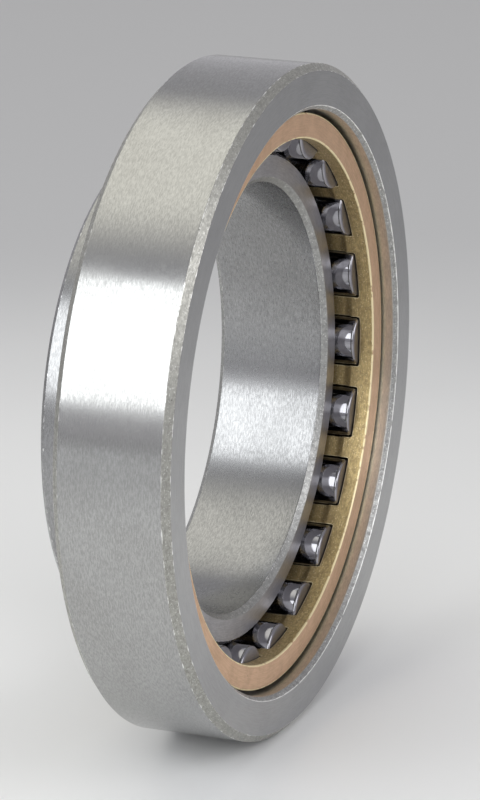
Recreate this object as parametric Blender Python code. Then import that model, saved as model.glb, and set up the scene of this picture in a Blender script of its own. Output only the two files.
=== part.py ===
"""Single-row cylindrical roller bearing with a brass window cage, inner ring slid out of the back.

The bearing's axis is Y, the front face looks along -Y and the outer ring's centre is the origin.
"""

import math

import bmesh
import bpy
from mathutils import Matrix, Vector

MM = 0.001

# Boundary dimensions, all in millimetres.
OUTER_RADIUS = 62.5
BORE_RADIUS = 40.0
WIDTH = 22.0
INNER_RING_SHIFT = 9.5

# Rolling set.
ROLLER_COUNT = 22
FIRST_ROLLER_DEG = -1.6
INNER_RACE_RADIUS = 45.75
OUTER_RACE_RADIUS = 56.75
ROLLER_CLEARANCE = 0.08
ROLLER_LENGTH = 10.1
ROLLER_CORNER = 0.55

# Outer ring.
OUTER_CHAMFER = 1.3
RIB_RADIUS = 54.1
RIB_CHAMFER = 0.8
RACE_WIDTH = 10.4

# Inner ring.
BORE_CHAMFER = 1.0
LEAD_IN_RADIAL = 0.75
LEAD_IN_AXIAL = 0.75

# Cage.
CAGE_WIDTH = 16.2
CAGE_OUTER_RADIUS = 53.3
CAGE_BORE_RADIUS = 48.6
CAGE_EDGE = 0.25
POCKET_LENGTH = 10.5
POCKET_RADIUS = 5.65
BAR_RELIEF_WIDTH = 7.0
BAR_RELIEF_DEPTH = 0.2

# Facets round each turned piece.
RING_STEPS = 132
ROLLER_STEPS = 24
CUTTER_STEPS = 40

PITCH_RADIUS = (INNER_RACE_RADIUS + OUTER_RACE_RADIUS) / 2
ROLLER_RADIUS = (OUTER_RACE_RADIUS - INNER_RACE_RADIUS) / 2 - ROLLER_CLEARANCE


def clear_scene():
    """Remove every object the file starts with."""
    for obj in list(bpy.data.objects):
        bpy.data.objects.remove(obj, do_unlink=True)


def make_material(name, colour, roughness, metallic):
    """A Principled material with a fixed colour, roughness and metallic value."""
    material = bpy.data.materials.new(name)
    material.use_nodes = True
    shader = material.node_tree.nodes["Principled BSDF"]
    shader.inputs["Base Color"].default_value = (*colour, 1.0)
    shader.inputs["Roughness"].default_value = roughness
    shader.inputs["Metallic"].default_value = metallic
    material.diffuse_color = (*colour, 1.0)
    return material


def add_object(name, mesh, material):
    """Link a new object holding the mesh and its material."""
    obj = bpy.data.objects.new(name, mesh)
    bpy.context.scene.collection.objects.link(obj)
    mesh.materials.append(material)
    return obj


def shade(obj, angle_deg):
    """Smooth shading that keeps the turned edges sharp."""
    obj.data.shade_smooth()
    obj.data.set_sharp_from_angle(angle=math.radians(angle_deg))


def to_mesh(bm, name):
    """Store a bmesh with its faces pointing out under the given name."""
    bmesh.ops.recalc_face_normals(bm, faces=bm.faces)
    mesh = bpy.data.meshes.new(name)
    bm.to_mesh(mesh)
    bm.free()
    return mesh


def ring_mesh(name, profile):
    """Spin a closed profile of (radius, y) points in millimetres once round the Y axis."""
    bm = bmesh.new()
    verts = [bm.verts.new((r * MM, y * MM, 0.0)) for r, y in profile]
    edges = [bm.edges.new((vert, verts[i - 1])) for i, vert in enumerate(verts)]
    bmesh.ops.spin(
        bm,
        geom=verts + edges,
        cent=(0.0, 0.0, 0.0),
        axis=(0.0, 1.0, 0.0),
        angle=2 * math.pi,
        steps=RING_STEPS,
        use_merge=True,
    )
    return to_mesh(bm, name)


def pin_mesh(name, radius, length, steps, corner):
    """A cylinder along Y in millimetres, its end corners rounded when corner is above zero."""
    bm = bmesh.new()
    bmesh.ops.create_cone(
        bm,
        cap_ends=True,
        segments=steps,
        radius1=radius * MM,
        radius2=radius * MM,
        depth=length * MM,
        matrix=Matrix.Rotation(math.radians(90), 4, "X"),
    )
    if corner > 0:
        rims = [edge for edge in bm.edges if abs(edge.verts[0].co.y - edge.verts[1].co.y) < 1e-6]
        bmesh.ops.bevel(
            bm,
            geom=rims,
            offset=corner * MM,
            offset_type="OFFSET",
            segments=2,
            profile=0.5,
            affect="EDGES",
        )
    return to_mesh(bm, name)


def roller_angle(index):
    """Angle of one roller round the bearing's axis, measured from +X towards +Z."""
    return math.radians(FIRST_ROLLER_DEG) + 2 * math.pi * index / ROLLER_COUNT


def make_outer_ring(material):
    """Outer ring: chamfered outside, a rib at each end and the roller track between them."""
    half = WIDTH / 2
    track = RACE_WIDTH / 2
    profile = [
        (OUTER_RADIUS, -half + OUTER_CHAMFER),
        (OUTER_RADIUS, half - OUTER_CHAMFER),
        (OUTER_RADIUS - OUTER_CHAMFER, half),
        (RIB_RADIUS + RIB_CHAMFER, half),
        (RIB_RADIUS, half - RIB_CHAMFER),
        (RIB_RADIUS, track),
        (OUTER_RACE_RADIUS, track),
        (OUTER_RACE_RADIUS, -track),
        (RIB_RADIUS, -track),
        (RIB_RADIUS, -half + RIB_CHAMFER),
        (RIB_RADIUS + RIB_CHAMFER, -half),
        (OUTER_RADIUS - OUTER_CHAMFER, -half),
    ]
    obj = add_object("outer_ring", ring_mesh("outer_ring", profile), material)
    shade(obj, 25)
    return obj


def make_inner_ring(material):
    """Inner ring: plain track without ribs, lead-in edges outside and chamfers in the bore."""
    front = INNER_RING_SHIFT - WIDTH / 2
    back = INNER_RING_SHIFT + WIDTH / 2
    profile = [
        (INNER_RACE_RADIUS, front + LEAD_IN_AXIAL),
        (INNER_RACE_RADIUS, back - LEAD_IN_AXIAL),
        (INNER_RACE_RADIUS - LEAD_IN_RADIAL, back),
        (BORE_RADIUS + BORE_CHAMFER, back),
        (BORE_RADIUS, back - BORE_CHAMFER),
        (BORE_RADIUS, front + BORE_CHAMFER),
        (BORE_RADIUS + BORE_CHAMFER, front),
        (INNER_RACE_RADIUS - LEAD_IN_RADIAL, front),
    ]
    obj = add_object("inner_ring", ring_mesh("inner_ring", profile), material)
    shade(obj, 25)
    return obj


def make_pocket_cutter():
    """One cutter holding a round-sided pocket for every roller."""
    single = pin_mesh("pocket", POCKET_RADIUS, POCKET_LENGTH, CUTTER_STEPS, 0.0)
    bm = bmesh.new()
    for index in range(ROLLER_COUNT):
        angle = roller_angle(index)
        centre = Vector((math.cos(angle), 0.0, math.sin(angle))) * PITCH_RADIUS * MM
        placed = single.copy()
        placed.transform(Matrix.Translation(centre) @ Matrix.Rotation(-angle, 4, "Y"))
        bm.from_mesh(placed)
        bpy.data.meshes.remove(placed)
    mesh = bpy.data.meshes.new("pocket_cutter")
    bm.to_mesh(mesh)
    bm.free()
    bpy.data.meshes.remove(single)
    cutter = bpy.data.objects.new("pocket_cutter", mesh)
    bpy.context.scene.collection.objects.link(cutter)
    cutter.hide_render = True
    cutter.display_type = "WIRE"
    return cutter


def make_cage(material):
    """Machined window cage: two end rims joined by bars relieved along their middle."""
    half = CAGE_WIDTH / 2
    relief = BAR_RELIEF_WIDTH / 2
    deep = CAGE_BORE_RADIUS + BAR_RELIEF_DEPTH
    slope = BAR_RELIEF_DEPTH
    profile = [
        (CAGE_OUTER_RADIUS, -half + CAGE_EDGE),
        (CAGE_OUTER_RADIUS, half - CAGE_EDGE),
        (CAGE_OUTER_RADIUS - CAGE_EDGE, half),
        (CAGE_BORE_RADIUS + CAGE_EDGE, half),
        (CAGE_BORE_RADIUS, half - CAGE_EDGE),
        (CAGE_BORE_RADIUS, relief),
        (deep, relief - slope),
        (deep, slope - relief),
        (CAGE_BORE_RADIUS, -relief),
        (CAGE_BORE_RADIUS, -half + CAGE_EDGE),
        (CAGE_BORE_RADIUS + CAGE_EDGE, -half),
        (CAGE_OUTER_RADIUS - CAGE_EDGE, -half),
    ]
    obj = add_object("cage", ring_mesh("cage", profile), material)
    boolean = obj.modifiers.new("pockets", "BOOLEAN")
    boolean.operation = "DIFFERENCE"
    boolean.solver = "EXACT"
    boolean.object = make_pocket_cutter()
    shade(obj, 25)
    return obj


def make_roller(index, material):
    """One roller with rounded end corners, its origin on its own axis."""
    name = f"roller_{index + 1:02d}"
    mesh = pin_mesh(name, ROLLER_RADIUS, ROLLER_LENGTH, ROLLER_STEPS, ROLLER_CORNER)
    obj = add_object(name, mesh, material)
    angle = roller_angle(index)
    obj.location = Vector((math.cos(angle), 0.0, math.sin(angle))) * PITCH_RADIUS * MM
    shade(obj, 40)
    return obj


def main():
    """Build every piece of the bearing."""
    clear_scene()
    outer_steel = make_material("outer_ring_steel", (0.56, 0.56, 0.57), 0.30, 1.0)
    inner_steel = make_material("inner_ring_steel", (0.58, 0.58, 0.59), 0.26, 1.0)
    roller_steel = make_material("roller_steel", (0.66, 0.66, 0.68), 0.12, 1.0)
    brass = make_material("cage_brass", (0.66, 0.45, 0.24), 0.38, 1.0)
    make_outer_ring(outer_steel)
    make_inner_ring(inner_steel)
    make_cage(brass)
    for index in range(ROLLER_COUNT):
        make_roller(index, roller_steel)


main()
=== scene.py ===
"""Studio scene of a separable cylindrical roller bearing with a brass window cage.

The bearing's axis is Y, its open front looks along -Y and +Z is up. Every piece is a turned or
machined surface worked out with numpy, and stands for one solid of the fixed frame.
"""

import logging
import math
from dataclasses import dataclass, field, replace
from enum import Enum

import bmesh
import bpy
import numpy as np
from mathutils import Matrix, Vector


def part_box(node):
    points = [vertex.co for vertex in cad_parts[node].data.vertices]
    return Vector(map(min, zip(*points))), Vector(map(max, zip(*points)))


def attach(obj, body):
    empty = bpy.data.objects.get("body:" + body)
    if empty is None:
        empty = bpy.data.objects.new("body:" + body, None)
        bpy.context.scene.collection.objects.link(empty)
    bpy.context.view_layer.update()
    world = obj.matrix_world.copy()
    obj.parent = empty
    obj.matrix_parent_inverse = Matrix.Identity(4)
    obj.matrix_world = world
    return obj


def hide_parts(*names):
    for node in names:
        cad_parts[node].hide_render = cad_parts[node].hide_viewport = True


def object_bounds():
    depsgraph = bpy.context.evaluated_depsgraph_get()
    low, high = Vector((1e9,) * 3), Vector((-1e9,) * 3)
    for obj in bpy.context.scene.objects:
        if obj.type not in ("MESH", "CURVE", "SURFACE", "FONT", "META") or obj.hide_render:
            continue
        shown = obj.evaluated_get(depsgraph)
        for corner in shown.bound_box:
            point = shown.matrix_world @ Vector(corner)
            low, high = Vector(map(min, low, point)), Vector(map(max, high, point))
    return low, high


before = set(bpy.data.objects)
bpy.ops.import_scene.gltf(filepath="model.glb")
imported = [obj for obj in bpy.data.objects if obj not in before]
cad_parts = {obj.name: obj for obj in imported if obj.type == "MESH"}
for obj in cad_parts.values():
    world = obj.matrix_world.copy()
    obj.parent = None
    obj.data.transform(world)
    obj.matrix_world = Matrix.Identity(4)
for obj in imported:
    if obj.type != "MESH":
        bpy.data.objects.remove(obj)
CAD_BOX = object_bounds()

MM = 0.001
TURN = 2 * math.pi
WELD_GAP = 1e-7
LOG = logging.getLogger("bearing")

Colour = tuple[float, float, float]
Feed = bpy.types.NodeSocket | float


class Place(Enum):
    """Where a finish reads the position that its turned lines run round."""

    BEARING_AXIS = "object"
    OWN_AXIS = "lathe"


class Band(Enum):
    """Parts of a turned profile that get a finish of their own."""

    GROUND = 0
    SIDE = 1
    CHAMFER = 2
    LIP = 3
    LAND = 4


# ---- node trees


class Graph:
    """Short calls that build a shader node tree."""

    def __init__(self, tree: bpy.types.NodeTree) -> None:
        """Wrap the node tree that new nodes go into."""
        self.tree = tree

    def node(self, kind: str, **settings: object) -> bpy.types.Node:
        """Add a node and set its properties.

        Args:
            kind: The node's type name.
            settings: Property names and values.

        Returns:
            The new node.
        """
        made = self.tree.nodes.new(kind)
        for name, value in settings.items():
            setattr(made, name, value)
        return made

    def feed(self, value: Feed, socket: bpy.types.NodeSocket) -> None:
        """Link a socket to another, or set it when the value is a number.

        Args:
            value: A socket or a plain value.
            socket: The input it goes to.
        """
        if isinstance(value, bpy.types.NodeSocket):
            self.tree.links.new(value, socket)
        else:
            socket.default_value = value

    def group(self, tree: bpy.types.NodeTree, **values: Feed) -> bpy.types.NodeOutputs:
        """Add a node group and feed its inputs.

        Args:
            tree: The group's tree.
            values: A value or a socket for each named input.

        Returns:
            The group's outputs.
        """
        made = self.node("ShaderNodeGroup", node_tree=tree)
        for name, value in values.items():
            self.feed(value, made.inputs[name])
        return made.outputs

    def maths(self, operation: str, first: Feed, second: Feed = 0.0) -> bpy.types.NodeSocket:
        """One arithmetic step.

        Args:
            operation: The Math node's operation.
            first: The first value.
            second: The second value, where the operation has one.

        Returns:
            The result's socket.
        """
        made = self.node("ShaderNodeMath", operation=operation)
        self.feed(first, made.inputs[0])
        self.feed(second, made.inputs[1])
        return made.outputs[0]

    def noise(
        self, vector: bpy.types.NodeSocket, scale: Feed, detail: float, roughness: float = 0.5
    ) -> bpy.types.NodeSocket:
        """Fractal noise from 0 to 1.

        Args:
            vector: Where the noise is read.
            scale: Features per unit of the vector.
            detail: Number of finer layers.
            roughness: How strongly each finer layer counts.

        Returns:
            The value's socket.
        """
        made = self.node("ShaderNodeTexNoise")
        self.feed(vector, made.inputs["Vector"])
        self.feed(scale, made.inputs["Scale"])
        made.inputs["Detail"].default_value = detail
        made.inputs["Roughness"].default_value = roughness
        return made.outputs["Fac"]

    def spread(
        self, value: bpy.types.NodeSocket, low: Feed, high: Feed, to_low: Feed = 0.0, to_high: Feed = 1.0
    ) -> bpy.types.NodeSocket:
        """Ease a value from one range into another, holding it beyond both ends.

        Args:
            value: The value to remap.
            low: Where the change starts.
            high: Where the change ends.
            to_low: The result at and below low.
            to_high: The result at and above high.

        Returns:
            The result's socket.
        """
        made = self.node("ShaderNodeMapRange", interpolation_type="SMOOTHSTEP")
        self.feed(value, made.inputs["Value"])
        for name, given in zip(("From Min", "From Max", "To Min", "To Max"), (low, high, to_low, to_high)):
            self.feed(given, made.inputs[name])
        return made.outputs["Result"]

    def blend(
        self, share: bpy.types.NodeSocket, first: bpy.types.NodeSocket | Colour,
        second: bpy.types.NodeSocket | Colour,
    ) -> bpy.types.NodeSocket:
        """Mix two colours.

        Args:
            share: 0 for the first colour, 1 for the second.
            first: A colour or the socket of one.
            second: A colour or the socket of one.

        Returns:
            The mixed colour's socket.
        """
        made = self.node("ShaderNodeMix", data_type="RGBA")
        self.feed(share, made.inputs["Factor"])
        for given, socket in ((first, made.inputs["A"]), (second, made.inputs["B"])):
            self.feed(given if isinstance(given, bpy.types.NodeSocket) else (*given, 1.0), socket)
        return made.outputs["Result"]


@dataclass(frozen=True)
class Port:
    """One input or output of a node group."""

    name: str
    kind: str = "NodeSocketFloat"
    value: float = 0.0


def new_group(name: str, takes: list[Port], gives: list[Port]) -> tuple[Graph, dict, dict]:
    """Start a shader node group with named ports.

    Args:
        name: The group's name.
        takes: Its inputs.
        gives: Its outputs.

    Returns:
        The graph of its tree, its input sockets by name and its output sockets by name.
    """
    tree = bpy.data.node_groups.new(name, "ShaderNodeTree")
    for ports, side in ((takes, "INPUT"), (gives, "OUTPUT")):
        for port in ports:
            made = tree.interface.new_socket(port.name, in_out=side, socket_type=port.kind)
            if port.kind == "NodeSocketFloat" and side == "INPUT":
                made.default_value = port.value
    graph = Graph(tree)
    source = graph.node("NodeGroupInput")
    target = graph.node("NodeGroupOutput")
    ins = {port.name: source.outputs[port.name] for port in takes}
    return graph, ins, {port.name: target.inputs[port.name] for port in gives}


class Effects:
    """The surface effects that several finishes share, each built once as a node group."""

    LINE_RANGE = (0.3, 0.7)
    FINE_RATIO = 9.0
    BROAD_SHARE = 0.75
    FILM_RANGE = (0.40, 0.64)
    GRIT_SCALE = 3200.0
    GRIT_RANGE = (0.58, 0.74)
    WEAR_HIGHLIGHT_SCALE = 700.0
    WEAR_HIGHLIGHT_START = 0.72
    WEAR_HIGHLIGHT_GAIN = 0.45
    WEAR_HIGHLIGHT_SOFTNESS = 0.14
    PIT_CORE = 0.4

    def __init__(self) -> None:
        """Build every group."""
        self.grain = self._grain()
        self.film = self._film()
        self.wear_and_highlight = self._wear_and_highlight()
        self.pits = self._pits()

    def _grain(self) -> bpy.types.NodeTree:
        """Fine lines left by turning or grinding, long round the axis and short across it.

        The noise is read at (x a, (y + r) c, z a), where r is the distance from the axis, a the
        change along a line and c the change across it. On a cylinder r stays the same and on a side
        face y does, so the lines run round both.

        Returns:
            The group's tree.
        """
        graph, takes, gives = new_group(
            "Turned grain",
            [Port("Position", "NodeSocketVector"), Port("Along", value=900.0),
             Port("Across", value=3500.0)],
            [Port("Lines"), Port("Height")],
        )
        parts = graph.node("ShaderNodeSeparateXYZ")
        graph.feed(takes["Position"], parts.inputs[0])
        x, y, z = parts.outputs
        squares = graph.maths("ADD", graph.maths("MULTIPLY", x, x), graph.maths("MULTIPLY", z, z))
        reach = graph.maths("ADD", y, graph.maths("SQRT", squares))
        where = graph.node("ShaderNodeCombineXYZ")
        graph.feed(graph.maths("MULTIPLY", x, takes["Along"]), where.inputs[0])
        graph.feed(graph.maths("MULTIPLY", reach, takes["Across"]), where.inputs[1])
        graph.feed(graph.maths("MULTIPLY", z, takes["Along"]), where.inputs[2])
        fine = graph.noise(where.outputs[0], 1.0, 2.0, 0.6)
        graph.feed(graph.spread(fine, *self.LINE_RANGE), gives["Lines"])
        graph.feed(fine, gives["Height"])
        return graph.tree

    def _film(self) -> bpy.types.NodeTree:
        """Uneven oil film, from broad noise with a finer layer on it, and the specks that show through.

        Returns:
            The group's tree.
        """
        graph, takes, gives = new_group(
            "Oil film",
            [Port("Position", "NodeSocketVector"), Port("Patch", value=0.012)],
            [Port("Film"), Port("Specks")],
        )
        scale = graph.maths("DIVIDE", 1.0, takes["Patch"])
        broad = graph.noise(takes["Position"], scale, 3.0, 0.55)
        fine = graph.noise(takes["Position"], graph.maths("MULTIPLY", scale, self.FINE_RATIO), 2.0, 0.6)
        most = graph.maths("MULTIPLY", broad, self.BROAD_SHARE)
        both = graph.maths("ADD", most, graph.maths("MULTIPLY", fine, 1 - self.BROAD_SHARE))
        graph.feed(graph.spread(both, *self.FILM_RANGE), gives["Film"])
        grit = graph.noise(takes["Position"], self.GRIT_SCALE, 1.0)
        graph.feed(graph.spread(grit, *self.GRIT_RANGE), gives["Specks"])
        return graph.tree

    def _wear_and_highlight(self) -> bpy.types.NodeTree:
        """Bright edges, partly wear and partly a painted highlight: the mesh's edge value times noise, cut
        off lower where Amount is higher.

        A small Amount leaves scattered worn nicks, and 1 leaves a nearly unbroken line, a painted
        highlight.

        Returns:
            The group's tree.
        """
        graph, takes, gives = new_group(
            "Edge wear",
            [Port("Position", "NodeSocketVector"), Port("Edge"), Port("Amount", value=0.5)],
            [Port("Wear and highlight")],
        )
        broken = graph.noise(takes["Position"], self.WEAR_HIGHLIGHT_SCALE, 2.0)
        level = graph.maths("MULTIPLY", takes["Edge"], broken)
        lower = graph.maths("MULTIPLY", takes["Amount"], self.WEAR_HIGHLIGHT_GAIN)
        start = graph.maths("SUBTRACT", self.WEAR_HIGHLIGHT_START, lower)
        full = graph.maths("ADD", start, self.WEAR_HIGHLIGHT_SOFTNESS)
        graph.feed(graph.spread(level, start, full), gives["Wear and highlight"])
        return graph.tree

    def _pits(self) -> bpy.types.NodeTree:
        """Small scattered pits: round marks about the points of a Voronoi pattern.

        Each cell's own colour decides whether it has a pit, so that Share of the cells do.

        Returns:
            The group's tree.
        """
        graph, takes, gives = new_group(
            "Pits",
            [Port("Position", "NodeSocketVector"), Port("Spacing", value=0.002), Port("Size", value=0.1),
             Port("Share", value=0.2)],
            [Port("Mask"), Port("Height")],
        )
        cells = graph.node("ShaderNodeTexVoronoi", feature="F1")
        graph.feed(takes["Position"], cells.inputs["Vector"])
        graph.feed(graph.maths("DIVIDE", 1.0, takes["Spacing"]), cells.inputs["Scale"])
        shade = graph.node("ShaderNodeSeparateColor")
        graph.feed(cells.outputs["Color"], shade.inputs[0])
        chosen = graph.maths("LESS_THAN", shade.outputs[0], takes["Share"])
        core = graph.maths("MULTIPLY", takes["Size"], self.PIT_CORE)
        near = graph.spread(cells.outputs["Distance"], core, takes["Size"], 1.0, 0.0)
        mask = graph.maths("MULTIPLY", near, chosen)
        graph.feed(mask, gives["Mask"])
        graph.feed(graph.maths("MULTIPLY", mask, -1.0), gives["Height"])
        return graph.tree


# ---- finishes


DARK_SHARE = 0.45
PIT_SHADE = 0.85
PIT_ROUGHNESS = 0.3


@dataclass(frozen=True)
class MetalFinish:
    """Bare metal with tool lines, an oil film, scattered pits and bright edges, partly wear and partly a
    painted highlight.
    """

    name: str
    colour: Colour
    film_colour: Colour
    edge_colour: Colour
    roughness: float
    line_roughness: float
    film_roughness: float
    along: float
    across: float
    line_depth: float
    patch: float = 0.012
    line_shade: float = 0.12
    film_share: float = 0.5
    pit_spacing: float = 0.003
    pit_size: float = 0.09
    pit_share: float = 0.08
    pit_depth: float = 0.00002
    wear_and_highlight: float = 0.35
    sparkle: float = 0.0
    mottle: float = 0.0
    mottle_size: float = 0.00035
    place: Place = Place.BEARING_AXIS

    def _position(self, graph: Graph) -> bpy.types.NodeSocket:
        """The socket that gives a point's place relative to the axis the lines run round.

        Args:
            graph: The material's graph.

        Returns:
            The place's socket.
        """
        if self.place is Place.BEARING_AXIS:
            return graph.node("ShaderNodeTexCoord").outputs["Object"]
        return graph.node("ShaderNodeAttribute", attribute_name=self.place.value).outputs["Vector"]

    def material(self, effects: Effects) -> bpy.types.Material:
        """Build the material.

        Args:
            effects: The shared node groups.

        Returns:
            The new material.
        """
        made = bpy.data.materials.new(self.name)
        made.use_nodes = True
        graph = Graph(made.node_tree)
        shader = made.node_tree.nodes["Principled BSDF"]
        shader.inputs["Metallic"].default_value = 1.0
        position = self._position(graph)

        edge = graph.node("ShaderNodeAttribute", attribute_name="edge").outputs["Fac"]
        grain = graph.group(effects.grain, Position=position, Along=self.along, Across=self.across)
        film = graph.group(effects.film, Position=position, Patch=self.patch)
        wear_and_highlight = graph.group(effects.wear_and_highlight, Position=position, Edge=edge, Amount=self.wear_and_highlight)
        pits = graph.group(
            effects.pits, Position=position, Spacing=self.pit_spacing, Size=self.pit_size,
            Share=self.pit_share,
        )

        oiled = graph.maths("MULTIPLY", film["Film"], self.film_share)
        colour = graph.blend(oiled, self.colour, self.film_colour)
        darker = tuple(DARK_SHARE * c for c in self.colour)
        lines = graph.maths("MULTIPLY", grain["Lines"], self.line_shade)
        colour = graph.blend(lines, colour, darker)
        colour = graph.blend(graph.maths("MULTIPLY", pits["Mask"], PIT_SHADE), colour, darker)
        bright = graph.maths("MULTIPLY", film["Specks"], self.sparkle)
        colour = graph.blend(bright, colour, self.edge_colour)
        # Bright edges: scattered wear, and a painted highlight line where the amount is high.
        colour = graph.blend(wear_and_highlight["Wear and highlight"], colour, self.edge_colour)
        graph.feed(colour, shader.inputs["Base Color"])

        rough = graph.spread(grain["Lines"], 0.0, 1.0, self.roughness, self.line_roughness)
        rough = graph.maths("ADD", rough, graph.maths("MULTIPLY", film["Film"], self.film_roughness))
        rough = graph.maths("ADD", rough, graph.maths("MULTIPLY", pits["Mask"], PIT_ROUGHNESS))
        graph.feed(rough, shader.inputs["Roughness"])

        height = graph.maths("MULTIPLY", grain["Height"], self.line_depth)
        sunk = graph.maths("MULTIPLY", pits["Height"], self.pit_depth)
        height = graph.maths("ADD", height, sunk)
        if self.mottle > 0:
            rough_skin = graph.noise(position, 1.0 / self.mottle_size, 4.0, 0.65)
            height = graph.maths("ADD", height, graph.maths("MULTIPLY", rough_skin, self.mottle))
        bump = graph.node("ShaderNodeBump")
        bump.inputs["Distance"].default_value = 1.0
        graph.feed(height, bump.inputs["Height"])
        graph.feed(bump.outputs["Normal"], shader.inputs["Normal"])
        return made


STEEL = (0.47, 0.47, 0.465)
STEEL_FILM = (0.40, 0.395, 0.385)
STEEL_EDGE = (0.78, 0.78, 0.78)

GROUND = MetalFinish(
    "ground steel", STEEL, STEEL_FILM, STEEL_EDGE, 0.13, 0.20, 0.03, 1100.0, 4600.0, 0.0000022,
    line_shade=0.45, film_share=0.35, pit_spacing=0.012, pit_size=0.02, sparkle=0.12,
)
SIDE_GROUND = MetalFinish(
    "side ground steel", (0.43, 0.43, 0.435), (0.37, 0.37, 0.375), STEEL_EDGE, 0.08, 0.13, 0.04, 300.0,
    5200.0, 0.0000008, line_shade=0.20, pit_spacing=0.010, pit_size=0.02,
)
INNER_SIDE = MetalFinish(
    "dull ground side", (0.42, 0.41, 0.425), (0.33, 0.32, 0.335), STEEL_EDGE, 0.32, 0.40, 0.05, 500.0,
    4600.0, 0.0000020, patch=0.004, line_shade=0.30, film_share=0.6, pit_spacing=0.008, pit_size=0.03,
    pit_share=0.10, wear_and_highlight=0.55, sparkle=0.15,
)
TURNED = MetalFinish(
    "turned steel chamfer", (0.47, 0.465, 0.43), (0.31, 0.305, 0.285), (0.88, 0.88, 0.85), 0.38, 0.50,
    0.05, 1400.0, 4200.0, 0.0000040, patch=0.0009, line_shade=0.40, film_share=0.6, pit_spacing=0.0018,
    pit_size=0.12, wear_and_highlight=0.55, sparkle=0.45, mottle=0.000010,
)
# Its high edge amount paints an almost unbroken bright line along the lip edges: a painted highlight.
LIP_TURNED = replace(
    TURNED, name="turned steel lip", colour=(0.42, 0.42, 0.41), film_colour=(0.27, 0.27, 0.265),
    edge_colour=(0.92, 0.92, 0.90), patch=0.0008, line_shade=0.35, film_share=0.5, pit_spacing=0.0022,
    wear_and_highlight=1.0, sparkle=0.60,
)
BORE_GROUND = replace(
    GROUND, name="ground bore steel", colour=(0.37, 0.37, 0.375), film_colour=(0.30, 0.30, 0.305),
    roughness=0.19, line_roughness=0.27,
)
BORE_LIP = replace(
    LIP_TURNED, name="turned bore lip", colour=(0.44, 0.44, 0.43), film_colour=(0.25, 0.25, 0.245),
)
# Lighter than the other ring steel: a painted reflection of the window light on the rib bores.
LAND_GROUND_PAINTED_LIGHT = MetalFinish(
    "ground rib land with painted reflection", (0.66, 0.655, 0.63), (0.54, 0.535, 0.51), STEEL_EDGE, 0.30, 0.40, 0.04, 1100.0,
    4600.0, 0.0000025, patch=0.002, line_shade=0.35, pit_spacing=0.004, pit_size=0.06, sparkle=0.15,
)
# Darker than the rings' steel: painted shade on the rollers.
ROLLER_SIDE = MetalFinish(
    "lapped roller steel with painted shade", (0.35, 0.345, 0.37), (0.28, 0.275, 0.30), (0.80, 0.80, 0.82), 0.06, 0.09, 0.02,
    500.0, 5200.0, 0.0000003, patch=0.006, line_shade=0.10, film_share=0.3, pit_share=0.02, wear_and_highlight=0.1,
    place=Place.OWN_AXIS,
)
ROLLER_END = MetalFinish(
    "roller end steel", (0.27, 0.26, 0.285), (0.20, 0.19, 0.215), (0.80, 0.80, 0.82), 0.36, 0.46, 0.05,
    400.0, 5200.0, 0.0000015, patch=0.005, pit_share=0.03, wear_and_highlight=0.1, place=Place.OWN_AXIS,
)
# Its high edge amount paints an almost unbroken bright line along the cage edges: a painted highlight.
BRASS_TURNED = MetalFinish(
    "turned cage brass", (0.68, 0.52, 0.26), (0.45, 0.33, 0.17), (1.0, 0.87, 0.56), 0.40, 0.52, 0.05,
    1100.0, 4200.0, 0.0000060, patch=0.0009, line_shade=0.50, film_share=0.75, pit_spacing=0.0012,
    pit_size=0.14, pit_share=0.14, wear_and_highlight=0.95, sparkle=0.60, mottle=0.000016,
)
# Lighter and pinker than the turned brass: painted light on the recessed cage face. Its high edge amount
# paints an almost unbroken bright line along the face edges: a painted highlight.
BRASS_FACE = MetalFinish(
    "cage face brass with painted light", (0.78, 0.525, 0.345), (0.60, 0.40, 0.26), (1.0, 0.87, 0.56), 0.40, 0.48, 0.05,
    300.0, 4200.0, 0.0000025, patch=0.004, line_shade=0.18, pit_size=0.06, pit_share=0.05, wear_and_highlight=0.95,
    sparkle=0.10,
)


# ---- surfaces


@dataclass
class Surface:
    """Arrays that make up one mesh: places, faces, finish numbers and edge values."""

    points: np.ndarray
    faces: list[np.ndarray]
    bands: list[np.ndarray]
    edge: np.ndarray

    def joined(self, other: "Surface") -> "Surface":
        """This surface and another one as one set of arrays.

        Args:
            other: The surface to add.

        Returns:
            Both together.
        """
        shift = len(self.points)
        return Surface(
            np.concatenate([self.points, other.points]),
            self.faces + [f + shift for f in other.faces],
            self.bands + other.bands,
            np.concatenate([self.edge, other.edge]),
        )


@dataclass(frozen=True)
class Corner:
    """One corner of a turned profile: its place, its rounding, the band that follows it and the weight of
    its bright edge, partly wear and partly a painted highlight.
    """

    radius: float
    y: float
    fillet: float
    band: Band
    wear_highlight_share: float = 1.0


EDGE_FADE = 0.35
FADE_LIMIT = 0.3
PIN_SUPPORT = 0.2
PIN_RINGS = (0.35, 0.75)
SEED_STEP = 7.3


def about_axis(angle: float) -> np.ndarray:
    """Matrix that turns points about Y by an angle, from X towards Z."""
    c, s = math.cos(angle), math.sin(angle)
    return np.array([[c, 0, -s], [0, 1, 0], [s, 0, c]])


def swept(r: np.ndarray, y: np.ndarray, u: np.ndarray) -> np.ndarray:
    """Sweep a profile round the Y axis: the point of angle u and place (r, y) is (r cos u, y, r sin u).

    Args:
        r: The profile's radii.
        y: The profile's places along the axis.
        u: The angles.

    Returns:
        Points, with a row for each angle and a column for each place.
    """
    turn = u[:, None]
    return np.stack([r * np.cos(turn), np.broadcast_to(y, (len(u), len(r))), r * np.sin(turn)], axis=-1)


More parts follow.
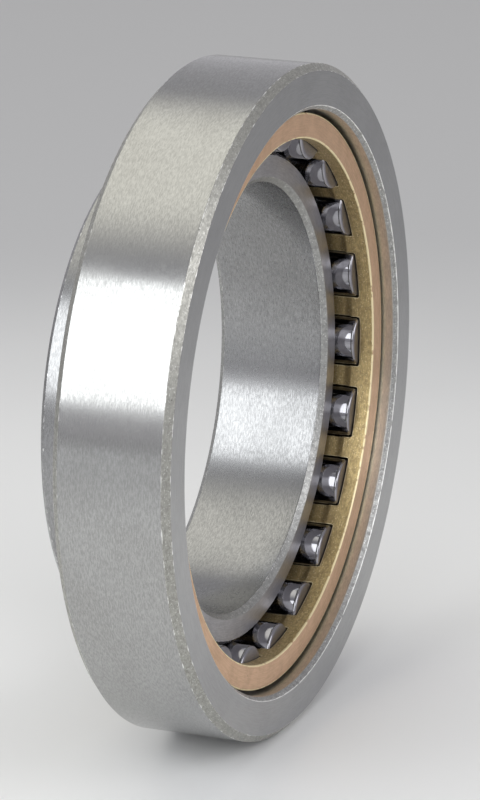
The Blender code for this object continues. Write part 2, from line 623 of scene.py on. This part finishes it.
def grid_faces(rows: int, columns: int, wrap_rows: bool, wrap_columns: bool) -> np.ndarray:
    """Quads of a grid whose point (i, j) has number i times columns plus j.

    Args:
        rows: Number of rows.
        columns: Number of columns.
        wrap_rows: Whether the last row joins the first.
        wrap_columns: Whether the last column joins the first.

    Returns:
        An array of quads, row by row.
    """
    i = np.arange(rows if wrap_rows else rows - 1)[:, None]
    j = np.arange(columns if wrap_columns else columns - 1)[None, :]
    below, beside = (i + 1) % rows, (j + 1) % columns
    quads = np.stack(
        [i * columns + j, i * columns + beside, below * columns + beside, below * columns + j], axis=-1
    )
    return quads.reshape(-1, 4)


def rounded_profile(corners: list[Corner], steps: int) -> tuple[np.ndarray, np.ndarray, np.ndarray]:
    """Round every corner of a closed profile and mark its edges.

    A corner P lies between unit directions a and b to its neighbours. Its arc of radius f touches
    the sides at P + t a and P + t b, where t is f over the tangent of half the angle between them,
    and its centre lies at f over the sine of that half angle, along a + b. Points on the arc are
    spherical blends of its two end spokes. One more point on each side carries the edge value to 0.

    Args:
        corners: The profile's corners in order.
        steps: Number of spans in each arc.

    Returns:
        Points as (radius, y), edge values, and the band of the span that follows each point.
    """
    at = np.array([(c.radius, c.y) for c in corners]) * MM
    fillet = np.array([c.fillet for c in corners])[:, None] * MM
    band = np.array([c.band.value for c in corners])
    back, ahead = np.roll(at, 1, axis=0) - at, np.roll(at, -1, axis=0) - at
    back_length = np.linalg.norm(back, axis=1, keepdims=True)
    ahead_length = np.linalg.norm(ahead, axis=1, keepdims=True)
    a, b = back / back_length, ahead / ahead_length
    half = 0.5 * np.arccos(np.clip(np.sum(a * b, axis=1, keepdims=True), -1, 1))
    reach = fillet / np.tan(half)
    middle = (a + b) / np.linalg.norm(a + b, axis=1, keepdims=True)
    centre = at + middle * fillet / np.sin(half)
    sweep = (math.pi - 2 * half)[:, :, None]
    share = np.linspace(0, 1, steps + 1)[None, :, None]
    first, last = (at + a * reach - centre)[:, None, :], (at + b * reach - centre)[:, None, :]
    arc = centre[:, None, :] + (
        np.sin((1 - share) * sweep) * first + np.sin(share * sweep) * last
    ) / np.sin(sweep)
    fade = EDGE_FADE * MM
    before = at + a * (reach + np.minimum(fade, FADE_LIMIT * back_length))
    after = at + b * (reach + np.minimum(fade, FADE_LIMIT * ahead_length))
    points = np.concatenate([before[:, None, :], arc, after[:, None, :]], axis=1)
    edge = np.repeat(np.array([[c.wear_highlight_share] for c in corners]), points.shape[1], axis=1)
    edge[:, [0, -1]] = 0
    number = points.shape[1]
    bands = np.where(np.arange(number)[None, :] < number // 2, np.roll(band, 1)[:, None], band[:, None])
    return points.reshape(-1, 2), edge.reshape(-1), bands.reshape(-1)


def turned_ring(corners: list[Corner], around: int, arc_steps: int) -> Surface:
    """Turn a closed profile once round the Y axis.

    Args:
        corners: The profile's corners.
        around: Number of steps round the axis.
        arc_steps: Number of spans in each rounded corner.

    Returns:
        The ring's surface.
    """
    profile, edge, band = rounded_profile(corners, arc_steps)
    points = swept(profile[:, 0], profile[:, 1], np.arange(around) * TURN / around)
    return Surface(
        points.reshape(-1, 3),
        [grid_faces(around, len(profile), True, True)],
        [np.tile(band, around)],
        np.tile(edge, around),
    )


def turned_pin(radius: float, length: float, fillet: float, around: int, arc_steps: int) -> Surface:
    """A cylinder along Y with rounded end corners, closed by a point at the middle of each end.

    Args:
        radius: Radius in millimetres.
        length: Length in millimetres.
        fillet: Rounding of the end corners in millimetres.
        around: Number of steps round the axis.
        arc_steps: Number of spans in each rounded corner.

    Returns:
        The pin's surface, centred on the origin.
    """
    turn = np.linspace(0, math.pi / 2, arc_steps + 1)
    corner_r = np.append(radius - fillet + fillet * np.sin(turn), radius)
    corner_y = np.append(length / 2 - fillet + fillet * np.cos(turn), length / 2 - fillet - PIN_SUPPORT)
    inner = np.append(np.array(PIN_RINGS) * (radius - fillet), radius - fillet - PIN_SUPPORT)
    r = np.concatenate([inner, corner_r, corner_r[::-1], inner[::-1]]) * MM
    face = np.full(len(inner), length / 2)
    y = np.concatenate([face, corner_y, -corner_y[::-1], -face]) * MM
    corner_edge = np.append(np.ones(arc_steps + 1), 0.0)
    flat = np.zeros(len(inner))
    edge = np.concatenate([flat, corner_edge, corner_edge[::-1], flat])
    ring = swept(r, y, np.arange(around) * TURN / around)
    count = ring.shape[0] * ring.shape[1]
    poles = np.array([[0, length / 2, 0], [0, -length / 2, 0]]) * MM
    start = np.arange(around) * len(r)
    following = np.roll(start, -1)
    top = np.stack([np.full(around, count), start, following], axis=-1)
    low = np.stack([np.full(around, count + 1), following + len(r) - 1, start + len(r) - 1], axis=-1)
    quads = grid_faces(around, len(r), True, False)
    column = np.tile(np.arange(len(r) - 1), around)
    corner = len(inner) + arc_steps // 2
    on_side = (column >= corner) & (column < len(r) - 1 - corner)
    return Surface(
        np.concatenate([ring.reshape(-1, 3), poles]),
        [quads, top, low],
        [np.where(on_side, Band.GROUND.value, Band.SIDE.value), np.full(2 * around, Band.SIDE.value)],
        np.concatenate([np.tile(edge, around), [0, 0]]),
    )


def make_piece(
    name: str, surface: Surface, materials: list[bpy.types.Material], centre: np.ndarray
) -> bpy.types.Object:
    """Put a surface into a smooth-shaded mesh object at the origin.

    Doubled points are merged first, and then the faces are turned to point outwards.

    Args:
        name: The piece's name.
        surface: Its arrays, with the axis of its tool lines through the origin.
        materials: Its materials in the order of their band numbers.
        centre: Where the surface's origin goes.

    Returns:
        The new object.
    """
    mesh = bpy.data.meshes.new(name)
    faces = [face for block in surface.faces for face in block.tolist()]
    mesh.from_pydata((surface.points + centre).tolist(), [], faces)
    mesh.polygons.foreach_set("material_index", np.concatenate(surface.bands).astype(np.int32))
    mesh.attributes.new("edge", "FLOAT", "POINT").data.foreach_set("value", surface.edge.astype(np.float32))
    local = mesh.attributes.new(Place.OWN_AXIS.value, "FLOAT_VECTOR", "POINT")
    seed = np.array([0.0, SEED_STEP * (centre[0] + 2 * centre[2]), 0.0])
    local.data.foreach_set("vector", (surface.points + seed).astype(np.float32).ravel())
    mesh.shade_smooth()
    weld = bmesh.new()
    weld.from_mesh(mesh)
    bmesh.ops.remove_doubles(weld, verts=weld.verts, dist=WELD_GAP)
    bmesh.ops.recalc_face_normals(weld, faces=weld.faces)
    weld.to_mesh(mesh)
    weld.free()
    mesh.update()
    piece = bpy.data.objects.new(name, mesh)
    bpy.context.scene.collection.objects.link(piece)
    for material in materials:
        mesh.materials.append(material)
    return piece


def settle(piece: bpy.types.Object, node: str) -> None:
    """Ride a piece on its node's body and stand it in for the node.

    Args:
        piece: The finished piece.
        node: The node and the body of the same name.
    """
    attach(piece, node)
    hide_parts(node)
    LOG.info("%s: %d faces", piece.name, len(piece.data.polygons))


# ---- sub-assemblies


@dataclass
class SubAssembly:
    """Pieces that share a set of finishes, listed in the order of their band numbers."""

    finishes: tuple[MetalFinish, ...] = ()

    def dress(self, effects: Effects) -> list[bpy.types.Material]:
        """Build a material for each finish."""
        return [finish.material(effects) for finish in self.finishes]


@dataclass
class TurnedRing(SubAssembly):
    """A steel ring turned from one closed profile."""

    node: str = ""
    slot: str = ""
    around: int = 480
    arc_steps: int = 5

    def corners(self) -> list[Corner]:
        """The profile's corners in order, given by each ring."""
        raise NotImplementedError

    def build(self, effects: Effects) -> None:
        """Make the ring.

        Args:
            effects: The shared node groups.
        """
        surface = turned_ring(self.corners(), self.around, self.arc_steps)
        piece = make_piece(f"{self.node}_skin", surface, self.dress(effects), np.zeros(3))
        settle(piece, self.node)


@dataclass
class OuterRing(TurnedRing):
    """The outer ring: chamfered outside, a rib at each end and the roller track between them."""

    finishes: tuple[MetalFinish, ...] = (GROUND, SIDE_GROUND, TURNED, LIP_TURNED, LAND_GROUND_PAINTED_LIGHT)
    node: str = "outer_ring"
    slot: str = "outer_ring_steel"
    radius: float = 62.5
    half_width: float = 11.0
    chamfer: float = 1.3
    rib_radius: float = 54.1
    rib_chamfer: float = 0.8
    track_radius: float = 56.75
    track_half_width: float = 5.2
    outer_fillet: float = 0.18
    face_fillet: float = 0.12
    rib_fillet: float = 0.15
    track_fillet: float = 0.10
    rib_wear_and_highlight: float = 0.45

    def corners(self) -> list[Corner]:
        """The profile's corners, from the front of the outside towards the back.

        Returns:
            The corners in order.
        """
        h, t, c, k = self.half_width, self.track_half_width, self.chamfer, self.rib_chamfer
        out, rib, track = self.radius, self.rib_radius, self.track_radius
        return [
            Corner(out, -h + c, self.outer_fillet, Band.GROUND),
            Corner(out, h - c, self.outer_fillet, Band.CHAMFER),
            Corner(out - c, h, self.face_fillet, Band.SIDE),
            Corner(rib + k, h, self.face_fillet, Band.LIP),
            Corner(rib, h - k, self.rib_fillet, Band.LAND, self.rib_wear_and_highlight),
            Corner(rib, t, self.track_fillet, Band.SIDE),
            Corner(track, t, self.track_fillet, Band.GROUND),
            Corner(track, -t, self.track_fillet, Band.SIDE),
            Corner(rib, -t, self.track_fillet, Band.LAND),
            Corner(rib, -h + k, self.rib_fillet, Band.LIP, self.rib_wear_and_highlight),
            Corner(rib + k, -h, self.face_fillet, Band.SIDE),
            Corner(out - c, -h, self.face_fillet, Band.CHAMFER),
        ]


@dataclass
class InnerRing(TurnedRing):
    """The plain inner ring, slid out of the back of the rolling set."""

    finishes: tuple[MetalFinish, ...] = (BORE_GROUND, INNER_SIDE, TURNED, BORE_LIP)
    node: str = "inner_ring"
    slot: str = "inner_ring_steel"
    track_radius: float = 45.75
    bore_radius: float = 40.0
    bore_chamfer: float = 1.0
    lead_in: float = 0.75
    track_fillet: float = 0.25
    face_fillet: float = 0.12
    bore_fillet: float = 0.10
    lip_wear_and_highlight: float = 0.5
    bore_wear_and_highlight: float = 0.6

    def corners(self) -> list[Corner]:
        """The profile's corners, from the front of the track towards the back.

        Returns:
            The corners in order.
        """
        low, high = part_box(self.node)
        front, back = low[1] / MM, high[1] / MM
        track, bore, k, c = self.track_radius, self.bore_radius, self.lead_in, self.bore_chamfer
        return [
            Corner(track, front + k, self.track_fillet, Band.GROUND),
            Corner(track, back - k, self.track_fillet, Band.GROUND),
            Corner(track - k, back, self.face_fillet, Band.SIDE),
            Corner(bore + c, back, self.bore_fillet, Band.LIP, self.lip_wear_and_highlight),
            Corner(bore, back - c, self.bore_fillet, Band.GROUND, self.bore_wear_and_highlight),
            Corner(bore, front + c, self.bore_fillet, Band.LIP, self.bore_wear_and_highlight),
            Corner(bore + c, front, self.bore_fillet, Band.SIDE, self.lip_wear_and_highlight),
            Corner(track - k, front, self.face_fillet, Band.GROUND),
        ]


@dataclass
class RollerSet(SubAssembly):
    """The rollers, each one a lapped pin with rounded end corners."""

    finishes: tuple[MetalFinish, ...] = (ROLLER_SIDE, ROLLER_END)
    count: int = 22
    radius: float = 5.42
    length: float = 10.1
    fillet: float = 0.55
    around: int = 96
    arc_steps: int = 6

    def build(self, effects: Effects) -> None:
        """Make every roller in the place of its solid.

        Args:
            effects: The shared node groups.
        """
        surface = turned_pin(self.radius, self.length, self.fillet, self.around, self.arc_steps)
        materials = self.dress(effects)
        for index in range(self.count):
            node = f"roller_{index + 1:02d}"
            low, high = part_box(node)
            centre = (np.array(low) + np.array(high)) / 2
            settle(make_piece(f"{node}_skin", surface, materials, centre), node)


@dataclass
class Cage(SubAssembly):
    """The one-piece window cage: two rims joined by bars, with a round-sided pocket per roller."""

    finishes: tuple[MetalFinish, ...] = (BRASS_TURNED, BRASS_FACE)
    count: int = 22
    first_deg: float = -1.6
    outer_radius: float = 53.3
    bore_radius: float = 48.6
    half_width: float = 8.1
    pitch_radius: float = 51.25
    pocket_radius: float = 5.65
    pocket_half_length: float = 5.25
    pocket_corner: float = 0.4
    relief_half_width: float = 3.5
    relief_depth: float = 0.2
    relief_slope: float = 0.3
    rim_edge: float = 0.25
    pocket_edge: float = 0.14
    cell_half_length: float = 6.3
    support: float = 0.12
    side_steps: int = 24
    corner_steps: int = 4
    skin_steps: int = 4
    wall_steps: int = 6
    edge_steps: int = 3

    def bore_at(self, y: np.ndarray) -> np.ndarray:
        """Radius of the bore at each y: deeper by the relief along the middle of the bars."""
        share = np.clip((self.relief_half_width - np.abs(y)) / self.relief_slope, 0, 1)
        return self.bore_radius + self.relief_depth * share * share * (3 - 2 * share)

    def pocket_angle(self, radius: np.ndarray) -> np.ndarray:
        """Half the pocket's opening angle at each radius.

        A point at radius r lies on the pocket's round wall where r squared plus the pitch radius
        squared less the pocket radius squared is twice r times the pitch radius times the cosine.
        """
        p = self.pitch_radius
        return np.arccos((radius**2 + p**2 - self.pocket_radius**2) / (2 * radius * p))

    def stations(self) -> np.ndarray:
        """Places along the pocket's straight side, set closer where the relief starts and ends.

        Returns:
            The places, from the front to the back.
        """
        straight = self.pocket_half_length - self.pocket_corner
        start, floor = self.relief_half_width, self.relief_half_width - self.relief_slope
        half = np.concatenate([np.linspace(-straight, -start, 4), [-start + self.relief_slope / 2]])
        number = self.side_steps - 2 * self.corner_steps + 1
        middle = np.linspace(-floor, floor, number - 2 * len(half))
        return np.concatenate([half, middle, -half[::-1]])

    def unit_loops(self) -> tuple[np.ndarray, np.ndarray, np.ndarray]:
        """Matching loops round the pocket and round its cell.

        Each of four sides has the same number of steps. The cell's loop is a rectangle from -1 to 1.
        The pocket's loop is split into a straight share from -1 to 1 and a corner arc direction, so
        that a rounded rectangle is its straight half sizes times the share plus its corner radius
        times the direction. The two sides along the bars share one set of places in both loops, so
        that rows between them keep to a fixed y.

        Returns:
            The cell's loop, the pocket's straight shares and the pocket's corner directions.
        """
        n, c = self.side_steps, self.corner_steps
        k = np.arange(n)
        even = np.clip((k - c) / (n - 2 * c), 0, 1) * 2 - 1
        places = self.stations()
        barred = np.concatenate([np.full(c, -1.0), places / places[-1], np.full(c - 1, 1.0)])
        reach = places[-1] / self.cell_half_length
        ends = np.linspace(-1, -reach, c + 1)[:-1]
        barred_run = np.concatenate([ends, places / self.cell_half_length, -ends[:0:-1]])
        lean = np.where(k < c, k / c - 1, np.where(k > n - c, (k - n + c) / c, 0.0)) * math.pi / 4
        cell, share, arrow = [], [], []
        for side in range(4):
            turn = side * math.pi / 2
            spin = np.array([[math.cos(turn), -math.sin(turn)], [math.sin(turn), math.cos(turn)]])
            run = barred_run if side % 2 else np.linspace(-1, 1, n + 1)[:-1]
            straight = barred if side % 2 else even
            cell.append(np.stack([run, np.full(n, -1.0)], axis=1) @ spin.T)
            share.append(np.stack([straight, np.full(n, -1.0)], axis=1) @ spin.T)
            arrow.append(np.stack([np.sin(lean), -np.cos(lean)], axis=1) @ spin.T)
        return np.concatenate(cell), np.concatenate(share), np.concatenate(arrow)

    def pocket_loop(
        self, radius: np.ndarray, grow: float, share: np.ndarray, arrow: np.ndarray
    ) -> np.ndarray:
        """The pocket's rounded outline as (angle, y) at the given radius, grown by a small offset.

        Args:
            radius: Radius of each point in millimetres.
            grow: Offset outwards in millimetres.
            share: Straight shares from unit_loops.
            arrow: Corner directions from unit_loops.

        Returns:
            Angles and y values, one row for each point.
        """
        corner = self.pocket_corner
        flat = self.pocket_angle(radius) * radius - corner
        length = self.pocket_half_length - corner
        across = share[:, 0] * flat + arrow[:, 0] * (corner + grow)
        along = share[:, 1] * length + arrow[:, 1] * (corner + grow)
        return np.stack([across / radius, along], axis=1)

    def cell_surface(self) -> Surface:
        """One pocket with its walls and the skins round it, inside and outside.

        Rows of the grid run from the cell's border on the bore to the pocket's edge, over its
        rounding, up the wall and over the outer rounding to the cell's border on the outside. A
        supporting row beside each rounding keeps the skins and the wall flat.

        Returns:
            The surface of one cell, about angle 0.
        """
        cell, share, arrow = self.unit_loops()
        border = cell * np.array([math.pi / self.count, self.cell_half_length])
        e, support = self.pocket_edge, self.support
        straight = self.pocket_half_length - self.pocket_corner

        def skin_radius(y: np.ndarray, outside: bool) -> np.ndarray:
            """Radius of the outer skin, or of the bore with its relief."""
            return np.full(len(y), self.outer_radius) if outside else self.bore_at(y)

        def row(grow: float, sink: float, outside: bool) -> tuple[np.ndarray, np.ndarray]:
            """A row round the pocket at an offset from its wall and a depth under the skin.

            Args:
                grow: Offset from the wall.
                sink: Depth under the skin.
                outside: Whether the skin is the outer one.

            Returns:
                The row's (angle, y) places and its radii.
            """
            y = share[:, 1] * straight + arrow[:, 1] * (self.pocket_corner + grow)
            radius = skin_radius(y, outside) + (-sink if outside else sink)
            return self.pocket_loop(radius, grow, share, arrow), radius

        def side(outside: bool) -> tuple[list[tuple[np.ndarray, np.ndarray]], list[float]]:
            """Rows from the cell's border, over the skin and the rounding, to the wall.

            Args:
                outside: Whether the skin is the outer one.

            Returns:
                The rows, and an edge value for each.
            """
            rows = []
            flat, _ = row(e + support, 0.0, outside)
            for s in np.linspace(0, 1, self.skin_steps + 1)[:-1]:
                mixed = border * (1 - s) + flat * s
                rows.append((mixed, skin_radius(mixed[:, 1], outside)))
            rows.append(row(e + support, 0.0, outside))
            for turn in np.linspace(0, math.pi / 2, self.edge_steps + 1):
                rows.append(row(e * (1 - math.sin(turn)), e * (1 - math.cos(turn)), outside))
            rows.append(row(0.0, e + support, outside))
            marks = [0.0] * (self.skin_steps + 1) + [1.0] * (self.edge_steps + 1) + [0.0]
            return rows, marks

        low, low_marks = side(False)
        high, high_marks = side(True)
        wall = []
        for s in np.linspace(0, 1, self.wall_steps + 1)[1:-1]:
            level = low[-1][1] * (1 - s) + high[-1][1] * s
            wall.append((self.pocket_loop(level, 0.0, share, arrow), level))
        rows = low + wall + high[::-1]
        grid = np.stack([place for place, _ in rows])
        level = np.stack([radius for _, radius in rows])
        marks = np.repeat(np.array(low_marks + [0.0] * len(wall) + high_marks[::-1]), len(cell))
        turn = grid[..., 0]
        points = np.stack([level * np.cos(turn), grid[..., 1], level * np.sin(turn)], axis=-1)
        faces = grid_faces(len(rows), len(cell), False, True)
        return Surface(points.reshape(-1, 3) * MM, [faces], [np.zeros(len(faces))], marks)

    def rim_surface(self, side: float) -> Surface:
        """One rim: from the cells' border on the bore, over the side face, to the outside.

        Args:
            side: -1 for the front rim and 1 for the back one.

        Returns:
            The rim's surface, whose border matches the cells'.
        """
        k, h, q = self.rim_edge, self.half_width, self.cell_half_length
        bend = np.linspace(0, math.pi / 2, self.edge_steps + 3)
        low_r = self.bore_radius + k * (1 - np.cos(bend))
        low_y = h - k * (1 - np.sin(bend))
        high_r = self.outer_radius - k * (1 - np.sin(bend))
        high_y = h - k * (1 - np.cos(bend))
        face_r = np.linspace(low_r[-1] + self.support, high_r[0] - self.support, 4)
        r = np.concatenate([[low_r[0]] * 2, low_r, face_r, high_r, [high_r[-1]] * 2])
        y = np.concatenate([[q, h - 2 * k], low_y, np.full(4, h), high_y, [h - 2 * k, q]]) * side
        marks = np.concatenate([[0, 0], np.ones(len(bend)), np.zeros(4), np.ones(len(bend)), [0, 0]])
        around = self.count * self.side_steps
        points = swept(r, y, np.arange(around) * TURN / around - math.pi / self.count)
        faces = grid_faces(around, len(r), True, False)
        column = np.tile(np.arange(len(r) - 1), around)
        on_face = (column >= 4) & (column < len(r) - 4)
        bands = np.where(on_face, Band.SIDE.value, Band.GROUND.value)
        return Surface(points.reshape(-1, 3) * MM, [faces], [bands], np.tile(marks, around))

    def build(self, effects: Effects) -> None:
        """Make the cage.

        Args:
            effects: The shared node groups.
        """
        cell = self.cell_surface()
        whole = self.rim_surface(-1.0).joined(self.rim_surface(1.0))
        for index in range(self.count):
            turned = cell.points @ about_axis(index * TURN / self.count).T
            whole = whole.joined(Surface(turned, cell.faces, cell.bands, cell.edge))
        whole.points = whole.points @ about_axis(math.radians(self.first_deg)).T
        settle(make_piece("cage_skin", whole, self.dress(effects), np.zeros(3)), "cage")


# ---- studio


@dataclass(frozen=True)
class Panel:
    """One soft area light, aimed at the middle of the outer ring."""

    name: str
    place: tuple[float, float, float]
    size: tuple[float, float]
    power: float
    colour: Colour = (1.0, 1.0, 1.0)

    def build(self) -> None:
        """Make the light."""
        data = bpy.data.lights.new(self.name, "AREA")
        data.shape = "RECTANGLE"
        data.size, data.size_y = self.size
        data.energy = self.power
        data.color = self.colour
        lamp = bpy.data.objects.new(self.name, data)
        lamp.visible_camera = False
        bpy.context.scene.collection.objects.link(lamp)
        lamp.location = self.place
        lamp.rotation_mode = "QUATERNION"
        lamp.rotation_quaternion = (-Vector(self.place)).to_track_quat("-Z", "Y")


@dataclass
class Studio:
    """A pale floor, plain soft lights and the camera."""

    azimuth: float = 291.57
    elevation: float = 16.41
    distance: float = 0.7916
    sideways: float = 0.01066
    drop: float = 0.00076
    lens: float = 194.26
    sensor: float = 36.0
    clip: tuple[float, float] = (0.01, 20.0)
    floor_size: float = 3.0
    floor_gap: float = 0.00005
    floor_steps: int = 9
    floor_roughness: float = 0.6
    panels: list[Panel] = field(default_factory=lambda: [
        Panel("window panel", (-0.949, 0.210, 0.54), (1.62, 0.78), 10.0, (0.97, 1.0, 1.0)),
        Panel("front panel", (-0.2, -0.95, 0.60), (0.8, 0.6), 3.2),
    ])
    horizon: Colour = (0.56, 0.555, 0.58)
    zenith: Colour = (0.44, 0.44, 0.46)
    ceiling: Colour = (1.38, 1.36, 1.24)
    ceiling_azimuth: float = 72.0
    ceiling_elevation: float = 65.0
    ceiling_reach: tuple[float, float] = (0.80, 0.985)
    paper_near: Colour = (0.80, 0.80, 0.80)
    painted_shade_far: Colour = (0.50, 0.50, 0.51)
    painted_shade_reach: tuple[float, float] = (0.14, 0.42)
    cloud_scale: float = 6.0
    cloud_share: float = 0.06

    def camera(self) -> None:
        """Make the camera, level and aimed beside the middle of the outer ring's front face."""
        a, e = math.radians(self.azimuth), math.radians(self.elevation)
        right = Vector((math.cos(a), math.sin(a), 0))
        ahead = Vector((-math.sin(a) * math.cos(e), math.cos(a) * math.cos(e), -math.sin(e)))
        up = right.cross(ahead)
        low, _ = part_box("outer_ring")
        target = Vector((0.0, low[1], 0.0))
        place = target - ahead * self.distance - right * self.sideways + up * self.drop
        data = bpy.data.cameras.new("camera")
        data.sensor_width = self.sensor
        data.lens = self.lens
        data.clip_start, data.clip_end = self.clip
        made = bpy.data.objects.new("camera", data)
        bpy.context.scene.collection.objects.link(made)
        turn = Matrix((right, up, -ahead)).transposed().to_4x4()
        turn.translation = place
        made.matrix_world = turn
        bpy.context.scene.camera = made

    def floor(self) -> None:
        """Make the floor, a wide sheet just under the bearing, pale near it and greyer further out as
        painted shade.
        """
        s, z, steps = self.floor_size, CAD_BOX[0][2] - self.floor_gap, self.floor_steps
        run = np.linspace(-s, s, steps)
        x, y = np.meshgrid(run, run, indexing="ij")
        points = np.stack([x, y, np.full_like(x, z)], axis=-1).reshape(-1, 3)
        mesh = bpy.data.meshes.new("floor")
        mesh.from_pydata(points.tolist(), [], grid_faces(steps, steps, False, False)[:, ::-1].tolist())
        sheet = bpy.data.objects.new("floor", mesh)
        bpy.context.scene.collection.objects.link(sheet)
        made = bpy.data.materials.new("pale floor with painted shade")
        made.use_nodes = True
        graph = Graph(made.node_tree)
        shader = made.node_tree.nodes["Principled BSDF"]
        place = graph.node("ShaderNodeTexCoord").outputs["Object"]
        reach = graph.node("ShaderNodeVectorMath", operation="LENGTH")
        graph.feed(place, reach.inputs[0])
        cloud = graph.maths("MULTIPLY", graph.noise(place, self.cloud_scale, 3.0), self.cloud_share)
        # The floor greys with distance from the bearing: painted shade for light falling off, with random
        # clouds on it.
        share = graph.spread(graph.maths("ADD", reach.outputs["Value"], cloud), *self.painted_shade_reach)
        graph.feed(graph.blend(share, self.paper_near, self.painted_shade_far), shader.inputs["Base Color"])
        shader.inputs["Roughness"].default_value = self.floor_roughness
        mesh.materials.append(made)

    def surroundings(self) -> None:
        """Give the surrounding light: an even blend from horizon to zenith and a soft bright ceiling.

        The ceiling's share rises with the cosine of the angle to its middle.
        """
        world = bpy.data.worlds.new("studio")
        bpy.context.scene.world = world
        world.use_nodes = True
        graph = Graph(world.node_tree)
        direction = graph.node("ShaderNodeTexCoord").outputs["Generated"]
        parts = graph.node("ShaderNodeSeparateXYZ")
        graph.feed(direction, parts.inputs[0])
        sky = graph.blend(graph.spread(parts.outputs[2], 0.0, 1.0), self.horizon, self.zenith)
        a, e = math.radians(self.ceiling_azimuth), math.radians(self.ceiling_elevation)
        closeness = graph.node("ShaderNodeVectorMath", operation="DOT_PRODUCT")
        graph.feed(direction, closeness.inputs[0])
        closeness.inputs[1].default_value = (
            math.cos(a) * math.cos(e), math.sin(a) * math.cos(e), math.sin(e)
        )
        share = graph.spread(closeness.outputs["Value"], *self.ceiling_reach)
        sky = graph.blend(share, sky, self.ceiling)
        graph.feed(sky, world.node_tree.nodes["Background"].inputs[0])

    def build(self) -> None:
        """Make the floor, the lights, the surrounding light and the camera."""
        self.floor()
        for panel in self.panels:
            panel.build()
        self.surroundings()
        self.camera()
        bpy.context.scene.view_settings.view_transform = "Standard"
        LOG.info("studio: %d lights", len(self.panels))


def main() -> None:
    """Build every sub-assembly and the studio, in order."""
    logging.basicConfig(level=logging.INFO, format="%(message)s")
    effects = Effects()
    for part in (OuterRing(), InnerRing(), Cage(), RollerSet()):
        part.build(effects)
    Studio().build()


if __name__ == "__main__":
    main()
